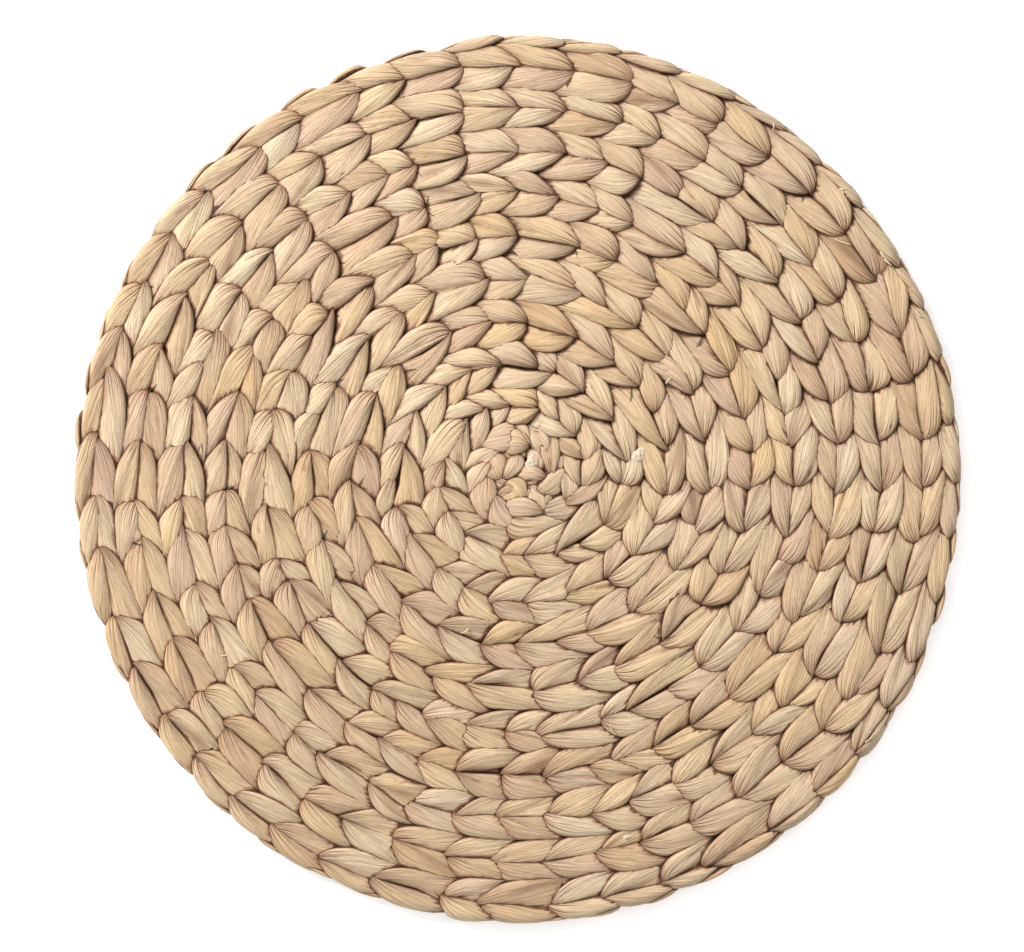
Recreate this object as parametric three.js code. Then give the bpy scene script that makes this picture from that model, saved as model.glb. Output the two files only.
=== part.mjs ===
import * as THREE from 'three';

// Round table mat of dried water plant stalks, hand twined in countered rows.
// Two strands at a time wrap the radial spokes, and the twist turns over from
// one row to the next, so each pair of rows shows as a chain of chevrons. The
// band runs outward as a spiral, one pair of rows a turn, and its last turn
// rolls over the rim. Millimetres, +Z up, the mat lying on z = 0.

const MAT_RADIUS = 185.4;
const CROWN_HEIGHT = 9.6;
const NOTCH_DEPTH = 2.7;
const ROW_WIDTH = 8.97;
const STRAND_SHEAR = 3.9;
const MAX_SHEAR = 0.12;
const ROW_COUNT = 20;
const CENTRE_KNOT = new THREE.Vector3(3, -4, 8.6);
const STRAW_COLOUR = 0xc9ac84;

// The ridge of one strand, from its end nearer the centre of the chevron.
const STRAND_CROWN = [
  { share: 0.22, drop: 0.5 },
  { share: 0.5, drop: 0 },
  { share: 0.78, drop: 0.6 },
];

// The rim from the face down to the table, with a notch drawn in at every ray.
const RIM_START = 179.6;
const RIM_RINGS = [
  { name: 'shoulder', inset: 1.3, height: 8.1, notch: 1.5 },
  { name: 'waist', inset: 0, height: 4.5, notch: 1.7 },
  { name: 'foot', inset: 4.2, height: 0, notch: 0.9 },
];

// How far the spiral has moved out, in pairs of rows, at each angle. Most of
// the climb of a turn is made in its last quarter.
const SPIRAL_CLIMB = [
  { degrees: 0, pairs: 0.70 },
  { degrees: 30, pairs: 0.76 },
  { degrees: 60, pairs: 0.80 },
  { degrees: 90, pairs: 0.90 },
  { degrees: 120, pairs: 0.99 },
  { degrees: 150, pairs: 1.05 },
  { degrees: 180, pairs: 1.09 },
  { degrees: 210, pairs: 1.10 },
  { degrees: 240, pairs: 1.11 },
  { degrees: 270, pairs: 1.14 },
  { degrees: 300, pairs: 1.21 },
  { degrees: 330, pairs: 1.46 },
  { degrees: 360, pairs: 1.70 },
];

// A ray runs out midway between two hidden spokes, where the strands dive. With
// the spokes, rays are added as the mat grows, so that strands keep their length.
const RAY_STAGES = [
  { radius: 7, rays: 9 },
  { radius: 22, rays: 14 },
  { radius: 46, rays: 21 },
  { radius: 80, rays: 26 },
  { radius: 94, rays: 32 },
  { radius: 112, rays: 40 },
  { radius: 142, rays: 47 },
];
const STAGE_SPREAD = 0.08;
const EVENING = 0.7;
const TURN = 2 * Math.PI;

// A steady unevenness from -1 to 1, as hand work has.
function uneven(a, b) {
  const wave = Math.sin(a * 12.9898 + b * 78.233) * 43758.5453;
  return 2 * (wave - Math.floor(wave)) - 1;
}

function climbAt(angle) {
  const turns = Math.floor(angle / TURN);
  const degrees = (angle / TURN - turns) * 360;
  const next = SPIRAL_CLIMB.findIndex((row) => row.degrees > degrees);
  const b = SPIRAL_CLIMB[next];
  const a = SPIRAL_CLIMB[next - 1];
  const share = (degrees - a.degrees) / (b.degrees - a.degrees);
  return turns + a.pairs + share * (b.pairs - a.pairs);
}

// Each ray has the radius where it starts and its angle at every stage.
function layOutRays() {
  const first = RAY_STAGES[0].rays;
  let rays = [];
  for (let i = 0; i < first; i += 1) {
    const wander = i === 0 ? 0 : 0.12 * uneven(i, 1);
    rays.push({ start: 0, at: [((i + wander) / first) * TURN] });
  }
  RAY_STAGES.slice(1).forEach((stage, k) => {
    while (rays.length < stage.rays) {
      rays = withOneMore(rays, k, stage.radius);
    }
    rays.forEach((ray, i) => {
      const even = (i / rays.length) * TURN;
      ray.at.push(ray.at[k] + EVENING * (even - ray.at[k]));
    });
  });
  return rays;
}

// Sets a new ray midway in the widest gap.
function withOneMore(rays, stage, radius) {
  const angles = [...rays.map((ray) => ray.at[stage]), TURN];
  const gaps = rays.map((ray, i) => angles[i + 1] - angles[i]);
  const widest = gaps.indexOf(Math.max(...gaps));
  const left = rays[widest];
  const right = rays[widest + 1];
  const at = left.at.map((angle, k) => (angle + (right ? right.at[k] : TURN)) / 2);
  const start = radius * (1 + STAGE_SPREAD * uneven(rays.length, 3));
  return [...rays.slice(0, widest + 1), { start, at }, ...rays.slice(widest + 1)];
}

function rayAngle(ray, radius) {
  const after = RAY_STAGES.findIndex((stage) => stage.radius > radius);
  if (after === 0) {
    return ray.at[0];
  }
  if (after === -1) {
    return ray.at[RAY_STAGES.length - 1];
  }
  const from = RAY_STAGES[after - 1].radius;
  const share = (radius - from) / (RAY_STAGES[after].radius - from);
  return ray.at[after - 1] + share * (ray.at[after] - ray.at[after - 1]);
}

// Where a line between two rows crosses a ray. Even lines carry the points of
// the chevrons and are drawn back along the row, odd lines are drawn forward.
function crossing(ray, line) {
  const side = line % 2 === 0 ? -1 : 1;
  let angle = ray.at[0];
  let radius = 0;
  for (let pass = 0; pass < 8; pass += 1) {
    radius = ROW_WIDTH * (line + 2 * climbAt(angle) - 0.5);
    const shear = Math.min(STRAND_SHEAR / radius, MAX_SHEAR);
    angle = rayAngle(ray, radius) + side * shear;
  }
  return { radius, angle };
}

const points = [];
const faces = [];

function addPoint(radius, angle, height) {
  points.push(new THREE.Vector3(radius * Math.cos(angle), radius * Math.sin(angle), height));
  return points.length - 1;
}

// Raises one strand as it passes over its spoke: a roof whose ridge runs along
// the longer diagonal of the field between four crossings.
function addStrand(field, low, high, line) {
  if (field.length < 4) {
    faces.push(field.map((corner) => corner.index));
    return;
  }
  const crownHeight = CROWN_HEIGHT - 0.4 + 0.4 * uneven(low.radius, line);
  const from = points[low.index];
  const along = points[high.index].clone().sub(from);
  const crown = STRAND_CROWN.map(({ share, drop }) => {
    const ridge = from.clone().addScaledVector(along, share);
    return points.push(ridge.setZ(crownHeight - drop)) - 1;
  });
  const place = (corner) => {
    const reach = points[corner.index].clone().sub(from).dot(along) / along.lengthSq();
    const distances = STRAND_CROWN.map(({ share }) => Math.abs(share - reach));
    return distances.indexOf(Math.min(...distances));
  };
  field.forEach((corner, i) => {
    const next = field[(i + 1) % field.length];
    const turnsAt = next === low || next === high ? corner : next;
    const kept = turnsAt === corner ? next : corner;
    faces.push([corner.index, next.index, crown[place(kept)]]);
    const step = Math.sign(place(next) - place(corner));
    for (let k = place(corner); k !== place(next); k += step) {
      faces.push([turnsAt.index, crown[k + step], crown[k]]);
    }
  });
}

// All crossings of the face, then the strands between them.
function addRows(rays) {
  const grid = rays.map((ray, i) => {
    const lines = [];
    for (let line = 0; line <= ROW_COUNT; line += 1) {
      const { radius, angle } = crossing(ray, line);
      if (radius > ray.start && radius < RIM_START) {
        const dip = NOTCH_DEPTH * (1 + 0.15 * uneven(line, i));
        lines[line] = { ray: i, radius, index: addPoint(radius, angle, CROWN_HEIGHT - dip) };
      }
    }
    return lines;
  });
  // One turn of a line ends on the first ray, two lines further out.
  const turnOf = (line) => {
    const end = grid[0][line + 2];
    const found = grid.map((lines) => lines[line]).filter(Boolean);
    return end ? [...found, { ...end, ray: grid.length }] : found;
  };
  for (let line = 0; line < ROW_COUNT; line += 1) {
    const inner = turnOf(line);
    const outer = turnOf(line + 1);
    inner.slice(1).forEach((b, i) => {
      const a = inner[i];
      const over = outer.filter((p) => p.ray >= a.ray && p.ray <= b.ray);
      if (over.length > 0) {
        const far = [over[0], over[over.length - 1]];
        const [low, high] = line % 2 === 0 ? [a, far[1]] : [far[0], b];
        addStrand([a, ...over, b], low, high, line);
      }
    });
  }
}

// The open edges of the faces so far, joined end to end.
function openLoops() {
  const key = (a, b) => `${a}>${b}`;
  const used = new Set();
  faces.forEach((face) => face.forEach((a, i) => used.add(key(a, face[(i + 1) % 3]))));
  const next = new Map();
  faces.forEach((face) => face.forEach((a, i) => {
    const b = face[(i + 1) % 3];
    if (!used.has(key(b, a))) {
      next.set(a, b);
    }
  }));
  const loops = [];
  while (next.size > 0) {
    const loop = [];
    let at = next.keys().next().value;
    while (next.has(at)) {
      loop.push(at);
      const to = next.get(at);
      next.delete(at);
      at = to;
    }
    loops.push(loop);
  }
  return loops;
}

function angleOf(index) {
  return Math.atan2(points[index].y, points[index].x);
}

// Rolls the last strands over the rim and down to the table.
function addRim(loop) {
  const count = loop.length;
  const middleAngle = (i) => {
    const a = angleOf(loop[i]);
    const b = angleOf(loop[(i + 1) % count]);
    return a + ((((b - a) % TURN) + TURN) % TURN) / 2;
  };
  let above = null;
  RIM_RINGS.forEach((ring) => {
    const radius = MAT_RADIUS - ring.inset;
    const drawnIn = loop.map((p, i) => radius - ring.notch * (1 + 0.3 * uneven(i, 5)));
    const atRays = loop.map((p, i) => addPoint(drawnIn[i], angleOf(p), ring.height));
    const between = loop.map((p, i) => addPoint(radius, middleAngle(i), ring.height));
    loop.forEach((p, i) => {
      const j = (i + 1) % count;
      if (above === null) {
        faces.push([p, atRays[i], between[i]]);
        faces.push([p, between[i], loop[j]]);
        faces.push([loop[j], between[i], atRays[j]]);
      } else {
        faces.push([above.atRays[i], atRays[i], between[i]]);
        faces.push([above.atRays[i], between[i], above.between[i]]);
        faces.push([above.between[i], between[i], above.atRays[j]]);
        faces.push([above.atRays[j], between[i], atRays[j]]);
      }
    });
    above = { atRays, between };
  });
  const centre = addPoint(0, 0, 0);
  loop.forEach((p, i) => {
    faces.push([centre, above.between[i], above.atRays[i]]);
    faces.push([centre, above.atRays[(i + 1) % count], above.between[i]]);
  });
}

function matGeometry() {
  addRows(layOutRays());
  const reach = (loop) => Math.max(...loop.map((index) => points[index].length()));
  const [inner, outer] = openLoops().sort((a, b) => reach(a) - reach(b));
  const knot = points.push(CENTRE_KNOT) - 1;
  inner.forEach((a, i) => faces.push([inner[(i + 1) % inner.length], a, knot]));
  addRim(outer);
  const geometry = new THREE.BufferGeometry();
  const places = points.flatMap((p) => p.toArray());
  geometry.setAttribute('position', new THREE.Float32BufferAttribute(places, 3));
  geometry.setIndex(faces.flat());
  geometry.computeVertexNormals();
  return geometry;
}

const group = new THREE.Group();
const mat = new THREE.Mesh(
  matGeometry(),
  new THREE.MeshStandardMaterial({ color: STRAW_COLOUR, roughness: 0.85, metalness: 0 }),
);
mat.name = 'woven_mat';
group.add(mat);

export default group;
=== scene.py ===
import math
import bpy
import numpy as np
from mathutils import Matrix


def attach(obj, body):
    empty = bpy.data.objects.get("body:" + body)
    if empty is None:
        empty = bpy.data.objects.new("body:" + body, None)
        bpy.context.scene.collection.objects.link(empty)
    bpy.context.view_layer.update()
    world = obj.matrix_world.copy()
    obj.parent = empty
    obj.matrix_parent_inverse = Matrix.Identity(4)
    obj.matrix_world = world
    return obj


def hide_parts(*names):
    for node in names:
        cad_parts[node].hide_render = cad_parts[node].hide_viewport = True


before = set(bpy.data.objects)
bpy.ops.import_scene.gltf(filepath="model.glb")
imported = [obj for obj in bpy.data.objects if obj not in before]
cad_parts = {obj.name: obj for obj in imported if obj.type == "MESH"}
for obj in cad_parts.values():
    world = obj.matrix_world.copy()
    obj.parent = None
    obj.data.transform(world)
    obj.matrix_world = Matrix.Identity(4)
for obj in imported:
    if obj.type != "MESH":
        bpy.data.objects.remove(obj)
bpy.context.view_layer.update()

scene = bpy.context.scene
scene.view_settings.view_transform = "Standard"


# The camera hangs straight above the face, as in the photograph, whose right
# is +X and whose top is +Y. Sizes are in metres, the lens in millimetres.
PICTURE_WIDTH = 0.4268
FACE_HEIGHT = 0.009
CAMERA_LENS = 135.0
CAMERA_SENSOR = 36.0
CAMERA_ASIDE = (-0.0023, 0.0015)

camera_data = bpy.data.cameras.new("camera_above")
camera_data.lens = CAMERA_LENS
camera_data.sensor_width = CAMERA_SENSOR
camera_data.clip_start = 0.05
camera_data.clip_end = 20.0
camera = bpy.data.objects.new("camera_above", camera_data)
camera.location = (*CAMERA_ASIDE, FACE_HEIGHT + PICTURE_WIDTH * CAMERA_LENS / CAMERA_SENSOR)
scene.collection.objects.link(camera)
scene.camera = camera


# Pale table top under the mat, and the light of a studio: one large soft lamp
# at the upper left, a weaker one opposite, and an even white surround.
FLOOR_SIZE = 6.0
FLOOR_DROP = 0.0004
FLOOR_WHITE = (0.93, 0.93, 0.925, 1)
FLOOR_GLOW = 0.22
SURROUND_LIGHT = 0.94
WHITE = (1, 1, 1, 1)
LAMPS = (
    # name, place, size, watts
    ("lamp_upper_left", (-1.35, 1.25, 1.25), 0.7, 119.0),
    ("lamp_lower_right", (1.3, -1.2, 1.7), 1.6, 4.0),
)

half = FLOOR_SIZE / 2
floor_corners = [(-half, -half, 0), (half, -half, 0), (half, half, 0), (-half, half, 0)]
floor_mesh = bpy.data.meshes.new("floor")
floor_mesh.from_pydata(floor_corners, [], [(0, 1, 2, 3)])
floor = bpy.data.objects.new("floor", floor_mesh)
floor.location.z = -FLOOR_DROP
scene.collection.objects.link(floor)
floor_paint = bpy.data.materials.new("white_table")
floor_paint.use_nodes = True
floor_shader = floor_paint.node_tree.nodes["Principled BSDF"]
floor_shader.inputs["Base Color"].default_value = FLOOR_WHITE
floor_shader.inputs["Roughness"].default_value = 0.8
floor_shader.inputs["Emission Color"].default_value = WHITE
floor_shader.inputs["Emission Strength"].default_value = FLOOR_GLOW
floor_mesh.materials.append(floor_paint)

for name, (x, y, z), size, watts in LAMPS:
    lamp_data = bpy.data.lights.new(name, "AREA")
    lamp_data.size = size
    lamp_data.energy = watts
    lamp = bpy.data.objects.new(name, lamp_data)
    lamp.location = (x, y, z)
    lamp.rotation_euler = (math.atan2(math.hypot(x, y), z), 0, math.atan2(x, -y))
    scene.collection.objects.link(lamp)

surround = bpy.data.worlds.new("studio")
surround.use_nodes = True
surround.node_tree.nodes["Background"].inputs["Color"].default_value = WHITE
surround.node_tree.nodes["Background"].inputs["Strength"].default_value = SURROUND_LIGHT
scene.world = surround


# Spoke layer: stout dried stalks fan out from the middle as spokes, and the
# strands are twined round them. Pressed between face and underside, spokes and
# hidden turns make one layer, of which only a glimpse shows in the notches,
# darkened there with painted shade.
FLAT_RADIUS = 180.6
HALF_THICKNESS = 4.8
ROW_WIDTH = 8.97
STRAND_LEAN = 3.9
STEEPEST_LEAN = 0.192
TURN = 2 * math.pi
MILLIMETRE = 0.001
# Pairs of rows that the spiral has climbed at each of these angles.
SPIRAL_DEGREES = (0, 30, 60, 90, 120, 150, 180, 210, 240, 270, 300, 330, 360)
SPIRAL_PAIRS = (0.70, 0.76, 0.80, 0.90, 0.99, 1.05, 1.09, 1.10, 1.11, 1.14, 1.21, 1.46, 1.70)
# Radius in millimetres, and how many spokes there are by then.
SPOKE_STAGES = ((7, 9), (22, 14), (46, 21), (80, 26), (94, 32), (112, 40), (142, 47))
SPOKE_EASE = 20.0
SPOKE_HOLD = 0.35
SPOKE_HOLD_RADII = (30, 95)
SPOKE_WANDER = 0.25
GOLDEN = 0.6180339887
RADII = np.arange(0, 201.0)


def uneven(a, b):
    """A number from -1 to 1 that looks random and is the same each run."""
    wave = math.sin(a * 12.9898 + b * 78.233) * 43758.5453
    return 2 * (wave - math.floor(wave)) - 1


def climb_at(angle):
    """Pairs of rows that the spiral has climbed at this angle."""
    turns = math.floor(angle / TURN)
    return turns + float(np.interp((angle / TURN - turns) * 360, SPIRAL_DEGREES, SPIRAL_PAIRS))


def lay_out_rays():
    """Rays midway between the spokes: where each starts, and its angle at each of RADII.

    A new ray eases its neighbours apart.
    """
    radii, wanted = zip(*SPOKE_STAGES)
    count = wanted[-1]
    order = np.argsort((np.arange(count) * GOLDEN) % 1)
    starts = np.zeros(count)
    for rank, number in enumerate(order):
        if rank >= wanted[0]:
            starts[number] = np.interp(rank + 0.5, wanted, radii)
    ease = ((RADII[None, :] - starts[:, None]) / SPOKE_EASE / 2 + 0.5).clip(0, 1)
    weights = np.where(starts[:, None] > 0, ease * ease * (3 - 2 * ease), 1.0)
    middles = np.cumsum(weights, 0) - weights / 2 - weights[0] / 2
    eased = middles / weights.sum(0) * TURN
    wander = [SPOKE_WANDER * uneven(i, 1) if i else 0 for i in range(count)]
    fixed = (np.arange(count) + wander) / count * TURN
    hold = np.interp(RADII, SPOKE_HOLD_RADII, (0, SPOKE_HOLD))
    return list(zip(starts, eased + hold * (fixed[:, None] - eased)))


def crossing(ray, line, side_up=1):
    """Radius along the face and angle where a line between two rows crosses a ray.

    side_up is 1 for the face and -1 for the underside, which leans the other way.
    """
    side = side_up if line % 2 else -side_up
    angle = ray[1][0]
    for _ in range(8):
        radius = ROW_WIDTH * (line + 2 * climb_at(angle) - 0.5)
        lean = min(STRAND_LEAN / max(radius, 4), STEEPEST_LEAN)
        angle = float(np.interp(radius, RADII, ray[1])) + side * lean
    return radius, angle


def on_face(along, angle, height):
    """Turns a place on the face, which rolls over the rim, into x, y, z in millimetres."""
    turn = np.maximum(0, along - FLAT_RADIUS) / HALF_THICKNESS
    radius = np.minimum(along, FLAT_RADIUS) + height * np.sin(turn)
    z = HALF_THICKNESS + height * np.cos(turn)
    return np.stack([radius * np.cos(angle), radius * np.sin(angle), z], -1)


def new_piece(name, places, faces, material):
    """A mesh object from places in millimetres, riding on the mat's one body."""
    mesh = bpy.data.meshes.new(name)
    corners = [list(map(int, face)) for face in faces]
    mesh.from_pydata((np.asarray(places) * MILLIMETRE).tolist(), [], corners)
    mesh.shade_smooth()
    mesh.materials.append(material)
    piece = bpy.data.objects.new(name, mesh)
    scene.collection.objects.link(piece)
    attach(piece, "root")
    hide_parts("woven_mat")
    return piece


def link(tree, source, target):
    tree.links.new(source, target)


def math_node(tree, operation, a, b, clamp=False):
    node = tree.nodes.new("ShaderNodeMath")
    node.operation = operation
    node.use_clamp = clamp
    for socket, value in zip(node.inputs, (a, b)):
        if isinstance(value, (int, float)):
            socket.default_value = value
        else:
            link(tree, value, socket)
    return node.outputs[0]


def times(tree, a, b, clamp=False):
    return math_node(tree, "MULTIPLY", a, b, clamp)


def plus(tree, a, b):
    return math_node(tree, "ADD", a, b)


def span_node(tree, value, reads, gives):
    """Turns the span of values that it reads into the span that it gives, and no further."""
    node = tree.nodes.new("ShaderNodeMapRange")
    for name, bound in zip(("From Min", "From Max", "To Min", "To Max"), (*reads, *gives)):
        node.inputs[name].default_value = bound
    link(tree, value, node.inputs["Value"])
    return node.outputs[0]


def dry_fibre_group():
    """Fibres of a dried stalk, drawn out along it.

    Place is the way along, the way across and a number for the strand. Gather is
    1 where the strand is squeezed. Waves are to a millimetre, lines in millimetres.
    """
    tree = bpy.data.node_groups.new("dry_fibre", "ShaderNodeTree")
    sockets = tree.interface
    place = sockets.new_socket("Place", in_out="INPUT", socket_type="NodeSocketVector")
    place.default_value = (0, 0, 0)
    squeeze = sockets.new_socket("Gather", in_out="INPUT", socket_type="NodeSocketFloat")
    squeeze.default_value = 0.0
    for name in ("Streak", "Fleck", "Crease", "Relief"):
        sockets.new_socket(name, in_out="OUTPUT", socket_type="NodeSocketFloat")
    inside = tree.nodes.new("NodeGroupInput")
    outside = tree.nodes.new("NodeGroupOutput")
    gather = inside.outputs["Gather"]
    apart = tree.nodes.new("ShaderNodeSeparateXYZ")
    link(tree, inside.outputs["Place"], apart.inputs[0])
    across, strand = apart.outputs[1], apart.outputs[2]

    def drawn_out(waves_along, waves_across, detail, roughness):
        scaled = tree.nodes.new("ShaderNodeVectorMath")
        scaled.operation = "MULTIPLY"
        scaled.inputs[1].default_value = (waves_along, waves_across, 7.31)
        link(tree, inside.outputs["Place"], scaled.inputs[0])
        noise = tree.nodes.new("ShaderNodeTexNoise")
        noise.inputs["Scale"].default_value = 1.0
        noise.inputs["Detail"].default_value = detail
        noise.inputs["Roughness"].default_value = roughness
        link(tree, scaled.outputs[0], noise.inputs["Vector"])
        return noise.outputs["Fac"]

    def way_to_line(every, sway):
        """The way to the nearest of the lines that run along the strand and sway a little."""
        steady = plus(tree, math_node(tree, "DIVIDE", across, every), times(tree, strand, 23.7))
        swaying = times(tree, drawn_out(0.05, 0.3, 1.0, 0.5), sway)
        lines = tree.nodes.new("ShaderNodeTexVoronoi")
        lines.voronoi_dimensions = "1D"
        lines.feature = "DISTANCE_TO_EDGE"
        lines.inputs["Scale"].default_value = 1.0
        link(tree, plus(tree, steady, swaying), lines.inputs["W"])
        return times(tree, lines.outputs["Distance"], every)

    def dark_line(way, narrow, wide):
        """A thin line that is wider where the strand is squeezed, and comes and goes."""
        width = plus(tree, times(tree, gather, wide - narrow), narrow)
        there = times(tree, math_node(tree, "SUBTRACT", comes_and_goes, 0.28), 4.0, clamp=True)
        width = math_node(tree, "MAXIMUM", times(tree, width, there), 0.001)
        return math_node(tree, "SUBTRACT", 1.0, math_node(tree, "DIVIDE", way, width), clamp=True)

    creases = way_to_line(1.9, 1.6)
    wrinkles = way_to_line(0.85, 2.6)
    comes_and_goes = drawn_out(0.06, 0.7, 1.0, 0.5)
    folds = drawn_out(0.040, 0.85, 1.0, 0.5)
    fibres = drawn_out(0.07, 2.4, 2.0, 0.65)
    hairs = drawn_out(0.2, 6.5, 1.0, 0.5)
    blotches = drawn_out(0.13, 0.3, 2.0, 0.55)

    streak = plus(tree, times(tree, fibres, 0.50), times(tree, hairs, 0.28))
    streak = plus(tree, streak, times(tree, folds, 0.22))
    link(tree, streak, outside.inputs["Streak"])
    link(tree, blotches, outside.inputs["Fleck"])

    # Crease lines, which the material darkens: partly brown fibre in the fold, partly painted shade
    # in the grooves that Relief gives the same lines.
    deep_line = dark_line(creases, 0.11, 0.34)
    thin_line = times(tree, dark_line(wrinkles, 0.07, 0.18), 0.6)
    link(tree, math_node(tree, "MAXIMUM", deep_line, thin_line), outside.inputs["Crease"])

    deep_groove = math_node(tree, "MINIMUM", creases, 0.4)
    thin_groove = times(tree, math_node(tree, "MINIMUM", wrinkles, 0.25), 0.5)
    grooved = plus(tree, times(tree, gather, 0.9), 0.22)
    relief = times(tree, plus(tree, deep_groove, thin_groove), grooved)
    relief = plus(tree, relief, times(tree, fibres, 0.42))
    relief = plus(tree, relief, times(tree, hairs, 0.20))
    link(tree, relief, outside.inputs["Relief"])


def dried_strand(name, cream, tan, golden, rose, brown):
    """Dried stalk: each strand lies between cream and tan, and between golden and rose.

    Its stains are browner. Its ends and creases are browner, partly their own colour
    and partly painted shade; the seam round it is nearly black, partly dark fibre and
    partly painted shade in the crevice; and the edge channel adds painted shade.
    """
    material = bpy.data.materials.new(name)
    material.use_nodes = True
    tree = material.node_tree
    shader = tree.nodes["Principled BSDF"]

    def attribute(name):
        node = tree.nodes.new("ShaderNodeAttribute")
        node.attribute_name = name
        return node

    def mix(amount, a, b, way="MIX"):
        node = tree.nodes.new("ShaderNodeMix")
        node.data_type = "RGBA"
        node.blend_type = way
        for socket, value in ((node.inputs[0], amount), (node.inputs[6], a), (node.inputs[7], b)):
            if isinstance(value, (int, float)):
                socket.default_value = value
            elif isinstance(value, tuple):
                socket.default_value = (*value, 1)
            else:
                link(tree, value, socket)
        return node.outputs[2]

    def browned(share):
        return tuple(share * part for part in brown)

    gathered = attribute("gather").outputs["Fac"]
    seam_gap = attribute("seam_gap").outputs["Fac"]
    strand_look = attribute("strand_look")
    stain = strand_look.outputs["Alpha"]
    look = tree.nodes.new("ShaderNodeSeparateColor")
    link(tree, strand_look.outputs["Color"], look.inputs[0])
    # The edge channel is painted shade: at a strand's sides, ends and creases, underneath it, and
    # where it lies below its neighbours.
    tone, warmth, edge = look.outputs[0], look.outputs[1], look.outputs[2]
    fibre = tree.nodes.new("ShaderNodeGroup")
    fibre.node_tree = bpy.data.node_groups["dry_fibre"]
    link(tree, attribute("fibre_place").outputs["Vector"], fibre.inputs["Place"])
    link(tree, gathered, fibre.inputs["Gather"])
    streak, fleck = fibre.outputs["Streak"], fibre.outputs["Fleck"]

    colour = mix(tone, tan, cream)
    colour = mix(times(tree, warmth, -1.0, clamp=True), colour, golden)
    colour = mix(times(tree, warmth, 1.0, clamp=True), colour, rose)

    # Streaks of fibre: the dark ones are browner than the pale ones.
    shade = span_node(tree, streak, reads=(0.38, 0.62), gives=(0.68, 1.18))
    shades = tree.nodes.new("ShaderNodeCombineColor")
    for socket, power in zip(shades.inputs, (0.8, 1.0, 1.3)):
        link(tree, math_node(tree, "POWER", shade, power), socket)
    colour = mix(1.0, colour, shades.outputs[0], "MULTIPLY")
    colour = mix(span_node(tree, fleck, reads=(0.42, 0.72), gives=(0.0, 0.42)), colour, rose)

    # Browner where the fibres gather at the ends: partly their own colour, partly painted shade
    # where the ends dive under their neighbours.
    squeezed = times(tree, math_node(tree, "POWER", gathered, 2.2), 0.55, clamp=True)
    colour = mix(squeezed, colour, browned(2.1))
    # Crease lines browner: partly brown fibre in the fold, partly painted shade in the grooves that
    # the bump gives the same lines.
    crease_shown = plus(tree, times(tree, gathered, 2.5), 0.46)
    creased = times(tree, fibre.outputs["Crease"], crease_shown, clamp=True)
    colour = mix(creased, colour, browned(0.7))
    stained = times(tree, stain, times(tree, streak, 1.7), clamp=True)
    colour = mix(stained, colour, brown)

    # The seam is a line along the strand's border, wider where it lies deep: partly the dark fibres
    # at its border, partly painted shade in the crevice between strands. With the edge channel's
    # painted shade it turns the colour brown, then nearly black.
    line_width = plus(tree, times(tree, edge, 0.42), 0.19)
    line_width = times(tree, line_width, plus(tree, fleck, 0.5))
    beyond = math_node(tree, "DIVIDE", seam_gap, line_width, clamp=True)
    seam = times(tree, math_node(tree, "SUBTRACT", 1.0, beyond), 0.95)
    seam_and_painted_shade = math_node(tree, "MAXIMUM", seam, edge)
    colour = mix(times(tree, seam_and_painted_shade, 1.8, clamp=True), colour, browned(2.0))
    colour = mix(math_node(tree, "POWER", seam_and_painted_shade, 1.15), colour, browned(0.16))
    link(tree, colour, shader.inputs["Base Color"])

    roughness = span_node(tree, fleck, reads=(0.0, 1.0), gives=(0.56, 0.82))
    link(tree, roughness, shader.inputs["Roughness"])
    shader.inputs["Specular IOR Level"].default_value = 0.40
    bump = tree.nodes.new("ShaderNodeBump")
    bump.inputs["Strength"].default_value = 1.0
    bump.inputs["Distance"].default_value = 0.0010
    link(tree, fibre.outputs["Relief"], bump.inputs["Height"])
    link(tree, bump.outputs[0], shader.inputs["Normal"])
    return material


def give_looks(piece, fibre_place, strand_look, gather, seam_gap):
    """Stores what the straw's material reads at each point.

    These are the place on the strand, the strand's tone, warmth, edge (painted shade)
    and stain, how far it is squeezed, and the way to the nearest seam in millimetres.
    """
    attributes = piece.data.attributes
    for name, values in (("gather", gather), ("seam_gap", seam_gap)):
        single = attributes.new(name, "FLOAT", "POINT")
        single.data.foreach_set("value", np.asarray(values, np.float32))
    fibre = attributes.new("fibre_place", "FLOAT_VECTOR", "POINT")
    fibre.data.foreach_set("vector", np.asarray(fibre_place, np.float32).ravel())
    look = attributes.new("strand_look", "FLOAT_COLOR", "POINT")
    look.data.foreach_set("color", np.asarray(strand_look, np.float32).ravel())


rays = lay_out_rays()
dry_fibre_group()
straw = dried_strand(
    "dried_strand",
    cream=(0.445, 0.361, 0.237),
    tan=(0.350, 0.233, 0.124),
    golden=(0.432, 0.302, 0.141),
    rose=(0.350, 0.234, 0.162),
    brown=(0.125, 0.052, 0.022),
)

LAYER_TOP = 5.4
LAYER_BOTTOM = 3.0
LAYER_RADIUS = 181.0
LAYER_EYE = 1.5
LAYER_RINGS = 60
LAYER_STEPS = 376
SPOKE_RIPPLE = 0.45
# The spoke layer's look: tan, with a high edge channel, which is painted shade, as the layer only
# shows deep in the notches.
SPOKE_PAINTED_SHADE_LOOK = (0.0, 0.2, 0.62, 0.0)
FAR_FROM_SEAM = 9.0

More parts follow.
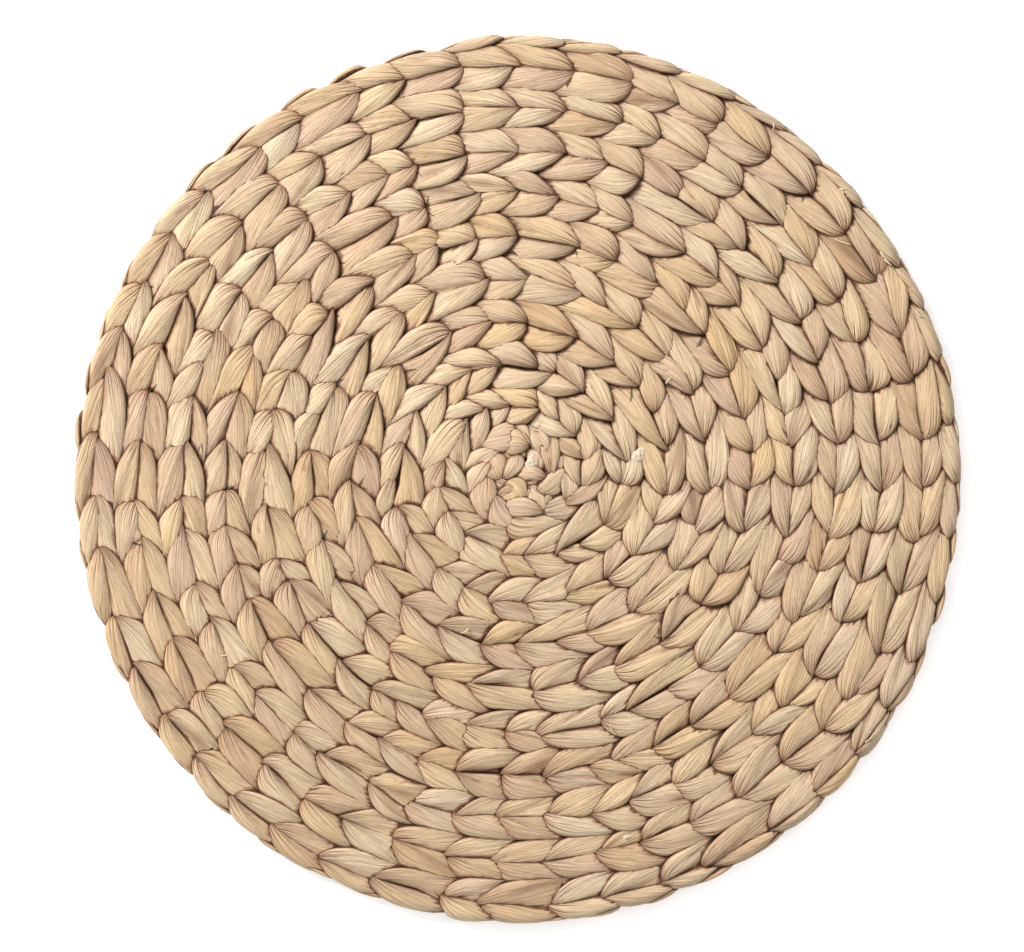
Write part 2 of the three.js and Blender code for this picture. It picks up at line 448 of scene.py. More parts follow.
layer_angles = np.arange(LAYER_STEPS) / LAYER_STEPS * TURN
layer_radii = np.linspace(LAYER_EYE, LAYER_RADIUS, LAYER_RINGS)
spoke_count = SPOKE_STAGES[-1][1]
ripple = SPOKE_RIPPLE * np.cos(layer_angles * spoke_count)
layer_rings = [(radius, LAYER_TOP + ripple * (radius / LAYER_RADIUS)) for radius in layer_radii]
layer_rings.append((LAYER_RADIUS, np.full(LAYER_STEPS, LAYER_BOTTOM)))
layer_places = [(0, 0, LAYER_TOP)]
for radius, z in layer_rings:
    ring_places = (radius * np.cos(layer_angles), radius * np.sin(layer_angles), z)
    layer_places += np.stack(ring_places, -1).tolist()
layer_places.append((0, 0, LAYER_BOTTOM))
last_ring = 1 + LAYER_RINGS * LAYER_STEPS
layer_faces = []
for i in range(LAYER_STEPS):
    after = (i + 1) % LAYER_STEPS
    layer_faces.append((0, 1 + i, 1 + after))
    for ring in range(LAYER_RINGS):
        a = 1 + ring * LAYER_STEPS
        layer_faces.append((a + i, a + LAYER_STEPS + i, a + LAYER_STEPS + after, a + after))
    layer_faces.append((last_ring + i, len(layer_places) - 1, last_ring + after))

spoke_layer = new_piece("spoke_layer", layer_places, layer_faces, straw)
layer_x, layer_y, _ = np.array(layer_places).T
layer_reach = np.hypot(layer_x, layer_y)
layer_round = np.arctan2(layer_y, layer_x) * layer_reach
none = np.zeros(len(layer_places))
give_looks(
    spoke_layer,
    np.stack([layer_reach, layer_round, none], -1),
    np.tile(SPOKE_PAINTED_SHADE_LOOK, (len(layer_places), 1)),
    none,
    none + FAR_FROM_SEAM,
)


# Strands of the face: flattened, creased stalks, two to a row, that pass over a
# spoke and dive behind the next. Each fills the field between two rays and two
# lines, its blunt end over its neighbour and its tail under the next strand.
STRAND_HEIGHTS = (
    # share of its length from the blunt end, height under the crown in millimetres
    (0.00, -2.4),
    (0.03, -1.2),
    (0.08, -0.55),
    (0.18, -0.1),
    (0.30, 0.00),
    (0.45, -0.22),
    (0.60, -0.75),
    (0.75, -1.50),
    (0.88, -2.35),
    (1.00, -3.30),
)
CROWN = 4.75
STRAND_DEPTH = 3.6
STRAND_TWIST = 0.5
# Half of the way round a strand's section that its surface reaches.
SECTION_REACH = math.radians(114)
NARROWEST, WIDEST = 3.2, 8.2
SLIVER_NARROWEST = 1.5
WIDTH_SPREAD = 0.09
TIP_WIDENING = 0.5
# How full a side's outline is: below 1 it is fuller than a leaf's.
MATE_FULLNESS = 0.74
OUTER_FULLNESS = 0.93
MATE_LAP = 0.4
EDGE_WAVE = 0.05
# Mean and spread of how far the blunt end overshoots, as a share of the length.
BLUNT_OVERRUN = (0.055, 0.04)
TAIL_OVERRUN = 0.11
LIFT_SPREAD = 0.26
ROLL_SPREAD = 0.055
BOW_SPREAD = (0.45, 0.28)
CROSSING_WANDER = (2.9, 1.0)
# Lines between rows, counted outward, and the radius of the eye that they leave.
ROW_LINES = range(-1, 22)
EYE_RADIUS = 3.2
# The knot is raised over the first strands, and the rim's slivers lie deep.
KNOT_LIFT = 0.35
KNOT_REACH = 19.0
SLIVER_SINK = 0.45
# The weave's middle lies off the mat's, and the rows round it give way.
MIDDLE_ASIDE = (4.5, 5.0)
MIDDLE_REACH = 75.0
RIM_NOTCH = 1.9
RIM_CROWN = 0.75
# Each strand has creases that start at an end or in the middle, and flat folds.
CREASES = 8
CREASE_WIDTH = (0.05, 0.12)
CREASE_DEPTH = (0.10, 0.42)
CREASE_REACH = (0.2, 0.5)
FOLDS = 3
FOLD_STEP = (0.02, 0.36)
# A row's two stalks run on for so many strands, alike in tone and warmth.
STALK_STRANDS = (7, 20)
MEAN_TONE = 0.52
STALK_TONE, STRAND_TONE = 0.16, 0.14
STALK_WARMTH, STRAND_WARMTH = (-0.05, 0.21), 0.19
SLIVER_DARKER = 0.45
STAINED_SHARE = 0.055
# Rows that are none of the spiral's: the knot at the middle, and the rim's slivers.
KNOT_ROW = -2
RIM_ROW = 99
FACE_STEPS = (26, 20)
FACE_SEED = 11
FACE_BANDS = (
    # name, nearest and furthest middle of its strands
    ("strands_centre", 0, 70),
    ("strands_inner", 70, 112),
    ("strands_middle", 112, 142),
    ("strands_outer", 142, 166),
    ("strands_rim", 166, 999),
    ("rim_slivers", 999, 9999),
)
# Columns of a list of strands.
BLUNT, MATE_CORNER, TAIL, OUTER_CORNER = slice(0, 2), slice(2, 4), slice(4, 6), slice(6, 8)
ROW, NUMBER, MIDDLE_RADIUS, BULGE = 8, 9, 10, slice(11, 13)


def flat_place(ray_number, line, side_up):
    """Where a ray crosses a line, on the face rolled out flat."""
    shift = 0
    if ray_number == len(rays):
        ray_number, shift = 0, 2
    radius, angle = crossing(rays[ray_number], line + shift, side_up)
    wander = min(1.0, radius / 40)
    number = ray_number * 1.7 + line + shift
    angle += wander * CROSSING_WANDER[0] * uneven(number, 5 + side_up) / max(radius, 8)
    radius += wander * CROSSING_WANDER[1] * uneven(number, 9 + side_up)
    return radius * math.cos(angle), radius * math.sin(angle)


def strand_list(side_up, furthest):
    """The four corners of every strand's field, its row, its number there, radius and bulge."""
    found = []
    for line in ROW_LINES:
        standing = []
        for number in range(len(rays) + 1):
            ray, shift = (rays[0], 2) if number == len(rays) else (rays[number], 0)
            if crossing(ray, line + shift, side_up)[0] > max(ray[0], EYE_RADIUS):
                standing.append(number)
        for left, right in zip(standing, standing[1:]):
            inner = flat_place(left, line, side_up), flat_place(right, line, side_up)
            outer = flat_place(left, line + 1, side_up), flat_place(right, line + 1, side_up)
            # Rows turn over in pairs, and the underside leans the other way.
            tip_row, tail_row = (inner, outer) if line % 2 == 0 else (outer, inner)
            first, last = (0, 1) if side_up > 0 else (1, 0)
            blunt, mate_corner = tip_row[first], tip_row[last]
            tail, outer_corner = tail_row[last], tail_row[first]
            radius = math.hypot(blunt[0] + tail[0], blunt[1] + tail[1]) / 2
            bulge = outer[0]
            for number in range(left + 1, right):
                if crossing(rays[number], line + 1, side_up)[0] > rays[number][0]:
                    bulge = flat_place(number, line + 1, side_up)
            if radius < furthest:
                corners = (*blunt, *mate_corner, *tail, *outer_corner)
                found.append((*corners, line, left, radius, *bulge))
    return np.array(found)


def each(values):
    """One value to a strand, ready to meet values along and across it."""
    return np.asarray(values)[:, None, None]


def side_outline(rng, wide, widest, fullness, T):
    """Half width of one side along every strand, like half a leaf with an uneven edge."""
    bend = math.log(0.5) / np.log(each(widest))
    swing = each(rng.normal(0, EDGE_WAVE, len(wide)))
    uneven_edge = 1 + swing * np.sin(7 * T + each(rng.uniform(0, TURN, len(wide))))
    leaf = np.sin(math.pi * (0.004 + 0.992 * T) ** bend).clip(0, 1) ** fullness
    return each(wide) * uneven_edge * leaf


def creases_and_folds(rng, swell, T, V):
    """Height of the creases and folds, and how deep in a crease each point lies, as a share."""
    count = len(swell)
    relief = np.zeros(V.shape)
    hollow = np.zeros(V.shape)
    for _ in range(CREASES):
        kind = each(rng.integers(0, 3, count))
        at = each(rng.uniform(-0.85, 0.85, count))
        bend = each(rng.normal(0, 0.10, count))
        wide = each(rng.uniform(*CREASE_WIDTH, count))
        deep = each(rng.uniform(*CREASE_DEPTH, count))
        reach = each(rng.uniform(*CREASE_REACH, count))
        from_blunt_end = np.exp(-((T / reach) ** 2))
        from_tail = np.exp(-(((1 - T) / reach) ** 2))
        in_middle = 0.5 * np.sin(math.pi * T) ** 0.6
        fade = np.where(kind == 0, from_blunt_end, np.where(kind == 1, from_tail, in_middle))
        line = at * (1 + 0.15 * np.sin(3 * T + bend * 9)) + bend * np.sin(math.pi * T)
        groove = np.exp(-(((V - line) / wide) ** 2)) * fade
        relief -= deep * groove
        hollow += groove * deep / CREASE_DEPTH[1]
    for _ in range(FOLDS):
        at = each(rng.uniform(-0.65, 0.65, count))
        step = each(rng.uniform(*FOLD_STEP, count) * rng.choice((-1, 1), count))
        slope = each(rng.normal(0, 0.5, count))
        relief += step * np.tanh((V - at - slope * (T - 0.5)) / 0.07) * np.sin(math.pi * T) ** 0.4
    relief += 0.15 * np.sin(T * 5.2 + each(swell[:, 0]) * 3) * np.cos(V * 2 + each(swell[:, 1]) * 3)
    return relief, hollow.clip(0, 1)


def stalk_colours(rng, row, number):
    """Tone and warmth of every strand."""
    count = len(row)
    tone, warmth = np.zeros(count), np.zeros(count)
    for r in np.unique(row):
        for half in (0, 1):
            mine = np.flatnonzero((row == r) & (number % 2 == half))
            begin = 0
            while begin < len(mine):
                run = int(rng.integers(*STALK_STRANDS))
                tone[mine[begin:begin + run]] = rng.normal(0, STALK_TONE)
                warmth[mine[begin:begin + run]] = rng.normal(*STALK_WARMTH)
                begin += run
    tone = MEAN_TONE + tone + rng.normal(0, STRAND_TONE, count) - SLIVER_DARKER * (row == RIM_ROW)
    warmth = (warmth + rng.normal(0, STRAND_WARMTH, count)).clip(-0.9, 0.9)
    return tone.clip(0, 1), np.where(row == RIM_ROW, 0.3 * warmth, warmth)


def stains(rng, count, T, V):
    """A dark streak along the middle of a few strands."""
    stained = rng.random(count) < STAINED_SHARE
    strength = each(np.where(stained, rng.uniform(0.5, 0.95, count), 0))
    across = np.exp(-(((V - each(rng.uniform(-0.4, 0.4, count))) / 0.28) ** 2))
    return strength * across * np.exp(-(((T - 0.5) / 0.26) ** 2))


def grid_faces(turned, nu, nv):
    """Faces of every strand's grid of points, their outer side up."""
    i, j = np.meshgrid(np.arange(nu - 1), np.arange(nv - 1), indexing="ij")
    corner = i * nv + j
    quad = np.stack([corner, corner + nv, corner + nv + 1, corner + 1], -1).reshape(-1, 4)
    faces = quad[None] + (np.arange(len(turned)) * nu * nv)[:, None, None]
    return np.where((turned > 0)[:, None, None], faces, faces[:, :, ::-1]).reshape(-1, 4)


def lay_strands(strands, seed, steps):
    """Points, faces, places on the strand and colouring of every strand in the list."""
    rng = np.random.default_rng(seed)
    count = len(strands)
    row = strands[:, ROW]
    blunt = strands[:, BLUNT]
    axis = strands[:, TAIL] - blunt
    length = np.hypot(axis[:, 0], axis[:, 1])
    axis = axis / length[:, None]
    across_axis = np.stack([-axis[:, 1], axis[:, 0]], -1)

    def local(corner):
        """A corner's share of the length, and its way across."""
        away = corner - blunt
        return (away * axis).sum(-1) / length, (away * across_axis).sum(-1)

    # Half widths of the two sides, and where along the strand they are widest.
    mate_at, mate_wide = local(strands[:, MATE_CORNER])
    outer_at, outer_wide = local(strands[:, OUTER_CORNER])
    mate_end = mate_at.clip(0.35, 1)
    mate_slope = np.abs(mate_wide) / mate_end
    mate_at, outer_at = mate_at.clip(0.5, 0.78), outer_at.clip(0.25, 0.5)
    turned = np.sign(outer_wide)
    narrowest = np.where(row == RIM_ROW, SLIVER_NARROWEST, NARROWEST)
    mate_wide = np.abs(mate_wide) * (1 + rng.normal(0, WIDTH_SPREAD, count)) + 0.5
    mate_wide = mate_wide.clip(narrowest, WIDEST)
    outer_wide = np.abs(outer_wide) * (1 + rng.normal(0, WIDTH_SPREAD, count)) + 0.25
    outer_wide = outer_wide.clip(narrowest, WIDEST)

    # A side whose line bulges outward between the two rays widens to meet it.
    bulge_at, bulge_wide = local(strands[:, BULGE])
    sides = (
        (mate_wide, mate_at, -turned, MATE_FULLNESS),
        (outer_wide, outer_at, turned, OUTER_FULLNESS),
    )
    for wide, widest, way, fullness in sides:
        bend = math.log(0.5) / np.log(widest)
        there = np.sin(math.pi * bulge_at.clip(0.05, 0.95) ** bend) ** fullness
        wide *= ((bulge_wide * way + 0.4) / (there * wide)).clip(1, 1.45)
    half_width = (mate_wide + outer_wide) / 2

    lift = rng.normal(0, LIFT_SPREAD, count).clip(-0.5, 0.45)
    under_knot = (1 - strands[:, MIDDLE_RADIUS] / KNOT_REACH).clip(0, 1)
    lift += np.where(row == KNOT_ROW, KNOT_LIFT, -under_knot) - SLIVER_SINK * (row == RIM_ROW)
    roll = rng.normal(0, ROLL_SPREAD, count)
    swell = rng.normal(0, 1, (count, 3))

    # T runs along the strand from 0 to 1. V runs across its section from -1 on
    # the mate's side to 1, and C is 1 on top and below 0 underneath.
    t = np.linspace(0, 1, steps[0] + 1)
    t = t - 0.42 * np.sin(TURN * t) / TURN
    psi = np.linspace(-1, 1, steps[1] + 1) * SECTION_REACH
    T = t[None, :, None]
    V = np.sign(psi) * np.abs(np.sin(psi)) ** 0.94
    C = np.sign(np.cos(psi)) * np.abs(np.cos(psi)) ** 0.68
    V = np.broadcast_to(V[None, None, :], (count, len(t), len(psi)))
    C = np.broadcast_to(C[None, None, :], V.shape)

    # Outline: a leaf whose mate side runs straight, so that mates close up.
    overrun = each(rng.normal(*BLUNT_OVERRUN, count).clip(-0.03, 0.13))
    reached = T * (1 + overrun + TAIL_OVERRUN) - overrun
    lapped = each(mate_slope) * reached + MATE_LAP * np.clip(T / 0.06, 0.2, 1)
    beside_mate = np.where(reached < each(mate_end), lapped, 0)
    tip = TIP_WIDENING * np.exp(-((T / 0.28) ** 2)) * np.clip(T / 0.05, 0.3, 1)
    mate_side = side_outline(rng, mate_wide, mate_at, MATE_FULLNESS, T) + tip
    outer_side = side_outline(rng, outer_wide, outer_at, OUTER_FULLNESS, T)
    W = np.where(V < 0, np.maximum(mate_side, beside_mate), outer_side)
    wideness = (W / each(half_width)).clip(0, 1)

    relief, hollow = creases_and_folds(rng, swell, T, V)
    relief *= np.clip(wideness * 1.6, 0, 1)

    heights = np.array(STRAND_HEIGHTS)
    blunter = each(rng.uniform(0.88, 1.14, count))
    profile = np.interp(T ** blunter, heights[:, 0], heights[:, 1])
    depth = STRAND_DEPTH * (0.45 + 0.55 * wideness)
    height = CROWN + each(lift) + profile - depth * (1 - C) + relief * np.clip(C + 0.35, 0, 1)
    across = W * V
    height = height + each(roll) * across + STRAND_TWIST * V
    along = each(length) * reached
    bow = each(rng.normal(0, BOW_SPREAD[0], count)) * np.sin(math.pi * T)
    bow = bow + each(rng.normal(0, BOW_SPREAD[1], count)) * np.sin(TURN * T)
    across = (across * (1 + 0.08 * relief) + bow) * each(turned)
    flat = blunt[:, None, None, :] + along[..., None] * axis[:, None, None, :]
    flat = flat + across[..., None] * across_axis[:, None, None, :]

    # Over the rim the strands stand out in scallops, with a notch at each tip.
    reach = np.hypot(flat[..., 0], flat[..., 1])
    rolled = ((reach - FLAT_RADIUS + 1.5) / 4).clip(0, 1)
    notch = np.exp(-((T / 0.13) ** 2)) + 0.6 * np.clip(T - 0.6, 0, 1) / 0.4
    height = height + rolled * (RIM_CROWN * np.sin(math.pi * T) - RIM_NOTCH * notch)
    places = on_face(reach, np.arctan2(flat[..., 1], flat[..., 0]), height)
    giving_way = np.clip(1 - reach / MIDDLE_REACH, 0, 1)[..., None] ** 2
    places[..., :2] += giving_way * np.array(MIDDLE_ASIDE)

    tone, warmth = stalk_colours(rng, row, strands[:, NUMBER])
    stain = stains(rng, count, T, V)
    # Edge channel: painted shade at the strand's sides and ends, in its creases and underneath it,
    # with some of the dark fibre at its border.
    side = np.clip((np.abs(V) - 0.84) / 0.16, 0, 1) ** 1.4
    ends = np.clip((0.10 - T) / 0.10, 0, 1) ** 1.5 + np.clip((T - 0.86) / 0.16, 0, 1)
    edge = 0.70 * side + 0.75 * ends + 0.34 * hollow ** 1.5 + 0.9 * np.clip(-C, 0, 1)
    drift = each(rng.uniform(0, 400, count))
    gather = 1 - np.sin(math.pi * T) ** 0.8

    def at_points(*values):
        """Values of every point of every strand, side by side."""
        return np.stack([np.broadcast_to(value, V.shape).reshape(-1) for value in values], -1)

    return {
        "places": places.reshape(-1, 3),
        "faces": grid_faces(turned, len(t), len(psi)),
        "fibre": at_points(along + drift, V * each(half_width), each(np.arange(count)) * 1.37),
        "look": at_points(each(tone), each(warmth), edge.clip(0, 1), stain),
        "gather": at_points(gather)[:, 0],
        "unrolled": np.concatenate([flat, height[..., None]], -1),
    }


# The seam map is a fine plan of the face rolled out flat, in millimetres.
SEAM_REACH = 192.0
SEAM_CELL = 0.3
SEAM_SAMPLES = np.arange(7) / 7
SEAM_BLUR = 5
SEAM_FAR = 5
# A point lying deeper than SEAM_START under its neighbours' mean height starts to take painted
# shade, full at SEAM_DEPTH further down.
SEAM_START = 0.16
SEAM_DEPTH = 0.42
# Room in a cell's key for the strand's number, under the height in microns.
STRAND_KEYS = 4096


def seam_map(grids):
    """For each grid's points: the way to the nearest seam, and how deep they lie under their
    neighbours, as a share, for painted shade.

    The way is below 0 where another strand covers the point.
    """
    side = int(2 * SEAM_REACH / SEAM_CELL)

    def cell_of(points):
        cell = ((points[..., :2] + SEAM_REACH) / SEAM_CELL).astype(np.int64).clip(0, side - 1)
        return cell[..., 0] * side + cell[..., 1]

    # Which strand lies on top in each cell, and how high.
    keys = np.full(side * side, -1, np.int64)
    owners = []
    first = 0
    for grid in grids:
        owner = first + np.arange(len(grid))[:, None, None]
        owners.append(owner)
        first += len(grid)
        for u in SEAM_SAMPLES:
            low = grid[:, :-1] * (1 - u) + grid[:, 1:] * u
            for v in SEAM_SAMPLES:
                part = low[:, :, :-1] * (1 - v) + low[:, :, 1:] * v
                key = ((part[..., 2] + 20) * 1000).astype(np.int64) * STRAND_KEYS + owner
                np.maximum.at(keys, cell_of(part).ravel(), key.ravel())
    keys = keys.reshape(side, side)
    neighbours = [(a, b) for a in (-1, 0, 1) for b in (-1, 0, 1) if a or b]
    for _ in range(2):
        round_it = np.max([np.roll(keys, way, (0, 1)) for way in neighbours], 0)
        keys = np.where(keys < 0, round_it, keys)
    top = np.where(keys < 0, 0.0, keys // STRAND_KEYS / 1000 - 20)
    on_top = np.where(keys < 0, -1, keys % STRAND_KEYS)

    # The way to the nearest cell where another strand begins.
    distance = np.full((side, side), SEAM_CELL * SEAM_FAR)
    for way in ((1, 0), (-1, 0), (0, 1), (0, -1)):
        distance[on_top != np.roll(on_top, way, (0, 1))] = SEAM_CELL / 2
    for _ in range(SEAM_FAR):
        for way in neighbours:
            further = np.roll(distance, way, (0, 1)) + SEAM_CELL * math.hypot(*way)
            distance = np.minimum(distance, further)

    def sum_around(values):
        total = np.pad(values, SEAM_BLUR + 1, mode="edge").cumsum(0).cumsum(1)
        wide = 2 * SEAM_BLUR + 1
        total = total[wide:] - total[:-wide]
        return (total[:, wide:] - total[:, :-wide])[:side, :side]

    mean = sum_around(top) / np.maximum(sum_around((keys >= 0).astype(float)), 1)
    found = []
    for grid, owner in zip(grids, owners):
        cell = cell_of(grid)
        height = grid[..., 2]
        shown = (on_top.ravel()[cell] == owner) & (height > top.ravel()[cell] - 0.9)
        shown |= height > top.ravel()[cell] - 0.08
        gap = np.where(shown, 1, -1) * distance.ravel()[cell]
        below = mean.ravel()[cell] - height
        below = np.where(shown, below, np.minimum(below, SEAM_START + 0.4 * SEAM_DEPTH))
        deep = ((below - SEAM_START) / SEAM_DEPTH).clip(0, 1)
        found.append((gap.reshape(-1), deep.reshape(-1)))
    return found


def lay_bands(bands, strands, seed, steps):
    """Each band's strands, laid and coloured, with the seams between all of them."""
    laid = []
    for number, (name, nearest, furthest) in enumerate(bands):
        radius = strands[:, MIDDLE_RADIUS]
        band = lay_strands(strands[(radius >= nearest) & (radius < furthest)], seed + number, steps)
        laid.append((name, band))
    for (_, band), (gap, deep) in zip(laid, seam_map([band["unrolled"] for _, band in laid])):
        band["seam_gap"] = gap
        # How deep a point lies under its neighbours goes into the edge channel as painted shade.
        band["look"][:, 2] = np.maximum(0.32 * band["look"][:, 2], deep)
    return laid


def strand_piece(name, band):
    piece = new_piece(name, band["places"], band["faces"], straw)
    give_looks(piece, band["fibre"], band["look"], band["gather"], band["seam_gap"])
    return piece


# The knot that starts the weave: the first strands are drawn over each other in
# a small rosette. They are laid and coloured with the other strands.
KNOT_STRANDS = (
    # blunt end, tail, half width, as seen from above
    ((5.2, 14.2), (-9.0, 15.8), 6.4),
    ((8.3, 3.2), (7.9, 21.0), 4.9),
    ((14.3, 1.4), (12.7, 26.0), 5.6),
    ((-6.2, -0.9), (-0.4, 12.0), 5.6),
    ((-7.0, -1.0), (-17.0, 12.5), 7.0),
    ((11.8, 0.8), (-3.6, 1.6), 4.1),
    ((2.4, -9.8), (-9.0, 0.2), 6.2),
    ((8.9, -16.2), (5.0, 0.8), 6.6),
    ((12.5, -13.8), (-12.5, -13.3), 5.0),
    ((7.6, -5.4), (22.0, 5.2), 5.9),
)
KNOT_RADIUS = 4.0


def before_shift(seen):
    """Where a place seen from above lay before the middle was shifted aside."""
    seen = np.array(seen)
    flat = seen - MIDDLE_ASIDE
    for _ in range(20):
        flat = seen - np.array(MIDDLE_ASIDE) * max(0.0, 1 - np.hypot(*flat) / MIDDLE_REACH) ** 2
    return flat


knot = []
for blunt, tail, half_width in KNOT_STRANDS:
    blunt, tail = before_shift(blunt), before_shift(tail)
    run = tail - blunt
    sideways = np.array((-run[1], run[0])) / np.hypot(*run) * half_width
    mate_corner = blunt + 0.55 * run + sideways
    outer_corner = blunt + 0.45 * run - sideways
    corners = (*blunt, *mate_corner, *tail, *outer_corner)
    knot.append((*corners, KNOT_ROW, len(knot), KNOT_RADIUS, *outer_corner))


# Rim slivers: narrow backs of the inner turns, which show brown between the
# lobes of the rim, where the last row is tucked in.
SLIVER_REACH = FLAT_RADIUS + 1.25 * HALF_THICKNESS
SLIVER_HALF_WIDTH = 1.3
SLIVER_RADIUS = 1500.0
rim_angles = [ray[1][-1] for ray in rays]
rim_angles.append(rim_angles[0] + TURN)


def rolled_out(reach, angle):
    return reach * math.cos(angle), reach * math.sin(angle)


slivers = []
for number, (here, there) in enumerate(zip(rim_angles, rim_angles[1:])):
    begin = here + (0.30 + 0.10 * uneven(number, 21)) * (there - here)
    end = begin + (1.0 + 0.12 * uneven(number, 22)) * (there - here)
    middle = (begin + end) / 2
    reach = SLIVER_REACH + 0.5 * uneven(number, 23)
    outer_corner = rolled_out(reach + SLIVER_HALF_WIDTH, middle)
    inner_corner = rolled_out(reach - SLIVER_HALF_WIDTH, middle)
    corners = (*rolled_out(reach, begin), *outer_corner, *rolled_out(reach, end), *inner_corner)
    slivers.append((*corners, RIM_ROW, number, SLIVER_RADIUS, *inner_corner))

rows = strand_list(1, FLAT_RADIUS + 1.35 * HALF_THICKNESS)
face_strands = np.concatenate([np.array(knot), rows, np.array(slivers)])
for name, band in lay_bands(FACE_BANDS, face_strands, FACE_SEED, FACE_STEPS):
    strand_piece(name, band)


# Strands of the underside: the backs of the same rows, made in the same twist.
# They lean the other way and are pressed flat where they lie on the table.
UNDERSIDE_BANDS = (("underside_inner", 0, 125), ("underside_outer", 125, 999))
UNDERSIDE_STEPS = (12, 10)
UNDERSIDE_SEED = 31
PRESSED_BELOW = 0.35
LOWEST = 0.1

rows = strand_list(-1, FLAT_RADIUS + 0.9 * HALF_THICKNESS)
under_strands = np.concatenate([np.array(knot), rows])
for name, band in lay_bands(UNDERSIDE_BANDS, under_strands, UNDERSIDE_SEED, UNDERSIDE_STEPS):
    z = 2 * HALF_THICKNESS - band["places"][:, 2]
    pressed = LOWEST + (PRESSED_BELOW - LOWEST) * np.exp((z - PRESSED_BELOW) / 0.3)
    band["places"][:, 2] = np.where(z < PRESSED_BELOW, pressed, z)
    band["faces"] = band["faces"][:, ::-1]
    strand_piece(name, band)


# Cut ends: where a stalk runs out it is cut off and tucked in, and its pale,
# spongy pith shows between the strands, ragged and a little dented.
CUT_ENDS = (
    # place seen from above, half length, half width, degrees, height of its top
    ((5.9, 7.2), 3.3, 2.5, 65, 5.1),
    ((50.6, 10.2), 3.6, 2.6, 50, 4.9),
    ((45.4, -149.2), 2.2, 1.3, 20, 4.4),
    ((-60.5, 65.0), 1.8, 1.2, 130, 4.2),
)
CUT_RINGS = 12
CUT_SIDES = 28
# How far the last three rings drop: the face's border, and the side's two rings.
CUT_SIDE_DROPS = (0.0, 1.0, 2.4)
PITH_PALE = (0.44, 0.39, 0.295, 1)
# The pits' duller colour is partly painted shade: it darkens the pith where its bump sinks.
PITH_PIT_COLOUR_AND_SHADE = (0.26, 0.20, 0.13, 1)
PITS_TO_A_METRE = 900.0


def pale_pith(name):
    """Spongy inside of the stalk: pale, with duller pits, partly its own mottling and partly
    painted shade where the bump sinks.
    """
    material = bpy.data.materials.new(name)
    material.use_nodes = True
    tree = material.node_tree
    shader = tree.nodes["Principled BSDF"]
    place = tree.nodes.new("ShaderNodeTexCoord")
    pits = tree.nodes.new("ShaderNodeTexNoise")
    pits.inputs["Scale"].default_value = PITS_TO_A_METRE
    pits.inputs["Detail"].default_value = 2.0
    link(tree, place.outputs["Object"], pits.inputs["Vector"])
    colour = tree.nodes.new("ShaderNodeMix")
    colour.data_type = "RGBA"
    colour.inputs[6].default_value = PITH_PIT_COLOUR_AND_SHADE
    colour.inputs[7].default_value = PITH_PALE
    link(tree, pits.outputs["Fac"], colour.inputs[0])
    link(tree, colour.outputs[2], shader.inputs["Base Color"])
    shader.inputs["Roughness"].default_value = 0.9
    shader.inputs["Specular IOR Level"].default_value = 0.2
    bump = tree.nodes.new("ShaderNodeBump")
    bump.inputs["Strength"].default_value = 0.6
    bump.inputs["Distance"].default_value = 0.0004
    link(tree, pits.outputs["Fac"], bump.inputs["Height"])
    link(tree, bump.outputs[0], shader.inputs["Normal"])
    return material


def cut_end_ring(ring, number, seen, half_length, half_width, degrees, top):
    """One ring of points round a cut end."""
    share = min(ring / (CUT_RINGS - 2), 1.0)
    drop = 0.7 * share ** 3 + CUT_SIDE_DROPS[max(0, ring - CUT_RINGS + 2)]
    turn = math.radians(degrees)
    places = []
    for k in range(CUT_SIDES):
        around = k / CUT_SIDES * TURN
        ragged = 1 + 0.10 * math.sin(3 * around + number) + 0.07 * math.sin(7 * around + 2 * number)
        along = half_length * share * ragged * math.cos(around)
        across = half_width * share * ragged * math.sin(around)
        dent = 0.22 * math.sin(2.1 * along + number) * math.cos(2.6 * across) * (1 - share ** 4)
        x = seen[0] + along * math.cos(turn) - across * math.sin(turn)
        y = seen[1] + along * math.sin(turn) + across * math.cos(turn)
        places.append((x, y, HALF_THICKNESS + top - drop + dent))
    return places


cut_places, cut_faces = [], []
for number, (seen, *shape, top) in enumerate(CUT_ENDS):
    first = len(cut_places)
    cut_places.append((*seen, HALF_THICKNESS + top))
    for ring in range(1, CUT_RINGS + 1):
        cut_places += cut_end_ring(ring, number, seen, *shape, top)
    for k in range(CUT_SIDES):
        after = (k + 1) % CUT_SIDES
        cut_faces.append((first, first + 1 + k, first + 1 + after))
        for ring in range(CUT_RINGS - 1):
            a = first + 1 + ring * CUT_SIDES
            cut_faces.append((a + k, a + CUT_SIDES + k, a + CUT_SIDES + after, a + after))
    last_ring = first + 1 + (CUT_RINGS - 1) * CUT_SIDES
    cut_faces.append(tuple(last_ring + k for k in reversed(range(CUT_SIDES))))
new_piece("cut_ends", cut_places, cut_faces, pale_pith("pale_pith"))


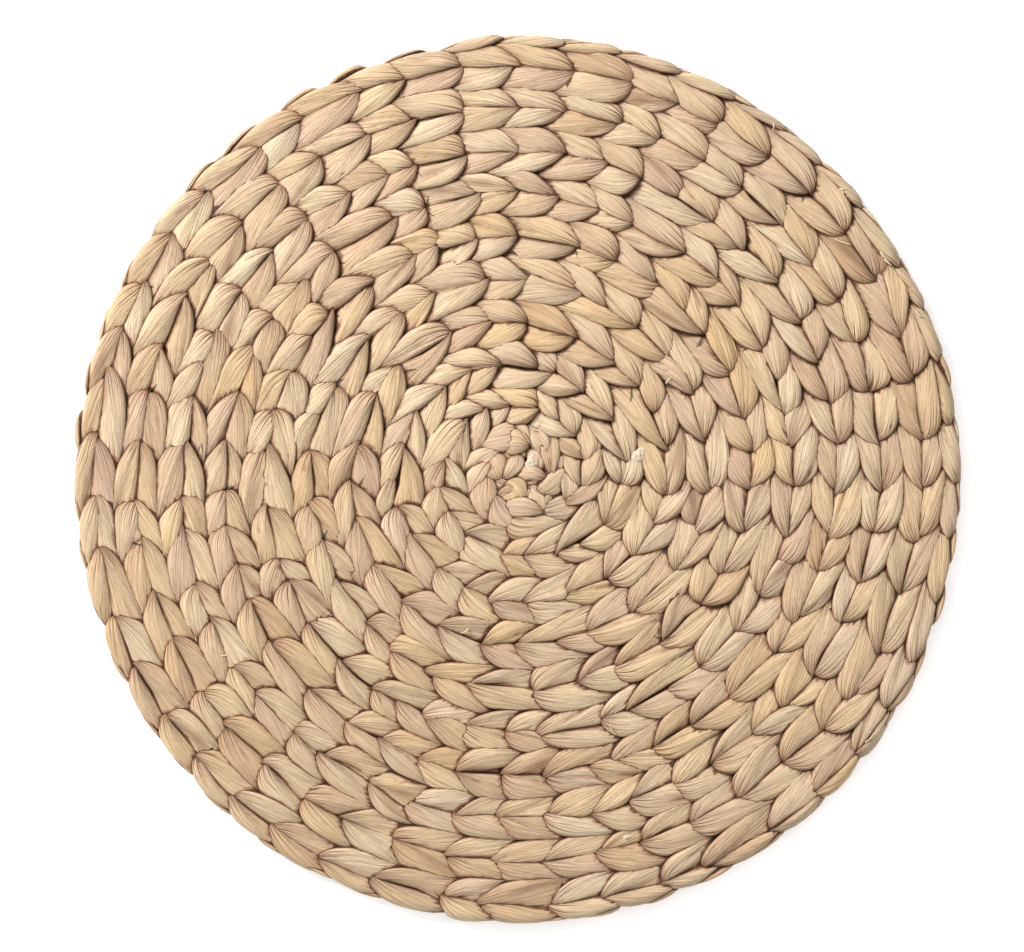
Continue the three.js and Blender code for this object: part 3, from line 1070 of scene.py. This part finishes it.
# Frayed fibres: short, pale slivers that split off a stalk's skin and curl up
# from the face, mostly near the rim. Each stays joined at its root.
FRAYED = (
    # place seen from above, degrees, length, half thickness, height it curls to
    ((133.4, 120.6), 20, 7.0, 0.50, 0.9),
    ((134.6, 121.4), -60, 4.0, 0.45, 0.6),
    ((138.8, 98.0), 175, 7.5, 0.42, 0.7),
    ((151.5, 95.0), -75, 6.0, 0.55, 0.8),
    ((152.8, 92.0), -50, 4.5, 0.50, 0.9),
    ((166.1, 70.5), -70, 5.0, 0.45, 0.5),
    ((105.0, 151.0), -20, 6.0, 0.50, 0.8),
    ((106.5, 149.5), -65, 4.5, 0.40, 0.5),
    ((134.5, 139.0), -35, 4.0, 0.35, 0.4),
    ((41.2, -106.3), 150, 5.5, 0.40, 0.7),
    ((43.0, -105.0), 100, 4.0, 0.40, 0.5),
    ((145.2, -109.5), 30, 5.0, 0.45, 0.5),
    ((-85.0, 88.5), 60, 4.5, 0.35, 0.5),
    ((-20.5, -62.0), -120, 4.0, 0.35, 0.5),
    ((62.0, 40.0), 80, 4.5, 0.35, 0.5),
    ((-120.5, -73.0), 200, 5.0, 0.40, 0.6),
)
FRAY_STEPS = 12
FRAY_SIDES = 6
FRAY_ROOT = 4.35
FRAY_FLATNESS = 0.45
FRAY_TIP = 0.06
FRAY_LOOK = (1.0, 0.0, 0.0, 0.0)

fray_places, fray_faces, fray_fibre = [], [], []
for number, (seen, degrees, length, thick, curl) in enumerate(FRAYED):
    first = len(fray_places)
    bend = 0.35 * uneven(number, 3)
    for step in range(FRAY_STEPS + 1):
        share = step / FRAY_STEPS
        heading = math.radians(degrees) + bend * share * 2
        x = seen[0] + length * share * math.cos(heading)
        y = seen[1] + length * share * math.sin(heading)
        height = FRAY_ROOT + curl * math.sin(math.pi * 0.8 * share)
        wide = thick * (1 - share) ** 0.6 + FRAY_TIP
        for k in range(FRAY_SIDES):
            around = k / FRAY_SIDES * TURN
            away = wide * math.cos(around)
            up = FRAY_FLATNESS * wide * math.sin(around)
            px, py = x - away * math.sin(heading), y + away * math.cos(heading)
            fray_places.append(on_face(np.hypot(px, py), math.atan2(py, px), height + up))
            fray_fibre.append((length * share, away, 1.7 * number))
    for step in range(FRAY_STEPS):
        a = first + step * FRAY_SIDES
        for k in range(FRAY_SIDES):
            after = (k + 1) % FRAY_SIDES
            fray_faces.append((a + k, a + after, a + FRAY_SIDES + after, a + FRAY_SIDES + k))
    tip = first + FRAY_STEPS * FRAY_SIDES
    fray_faces.append(tuple(first + k for k in reversed(range(FRAY_SIDES))))
    fray_faces.append(tuple(tip + k for k in range(FRAY_SIDES)))
frayed = new_piece("frayed_fibres", fray_places, fray_faces, straw)
none = np.zeros(len(fray_places))
give_looks(frayed, fray_fibre, np.tile(FRAY_LOOK, (len(none), 1)), none, none + FAR_FROM_SEAM)
